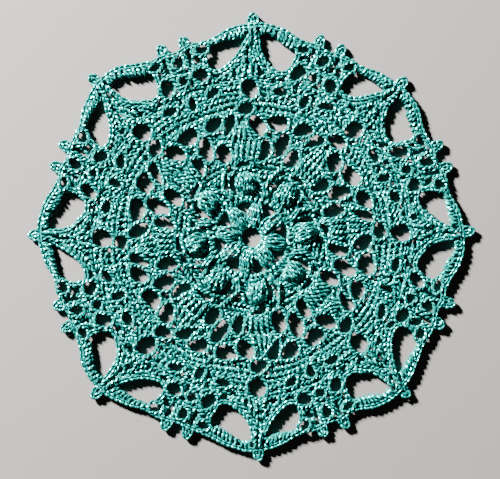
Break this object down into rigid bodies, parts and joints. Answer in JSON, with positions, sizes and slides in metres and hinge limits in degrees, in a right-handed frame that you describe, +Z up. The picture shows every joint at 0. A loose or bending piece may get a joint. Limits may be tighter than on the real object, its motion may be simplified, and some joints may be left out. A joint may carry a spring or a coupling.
{
  "type": "lace doily",
  "caption": "Round crocheted cotton lace doily with a pointed picot edge and raised popcorn stitches, a flat openwork mat for a table or tray.",
  "frame": {"origin": "on the surface that the doily lies on, under the middle of its outline box", "axes": "+Z up, out of the doily's raised face; +Y towards one of the points of its edge"},
  "size_m": [0.1796, 0.18, 0.0048],
  "materials": {
    "crochet_cotton": "mercerised crochet cotton, dyed sea green, with a soft gloss on each strand"
  },
  "bodies": {
    "root": {"doily": "crochet_cotton"}
  },
  "joints": []
}
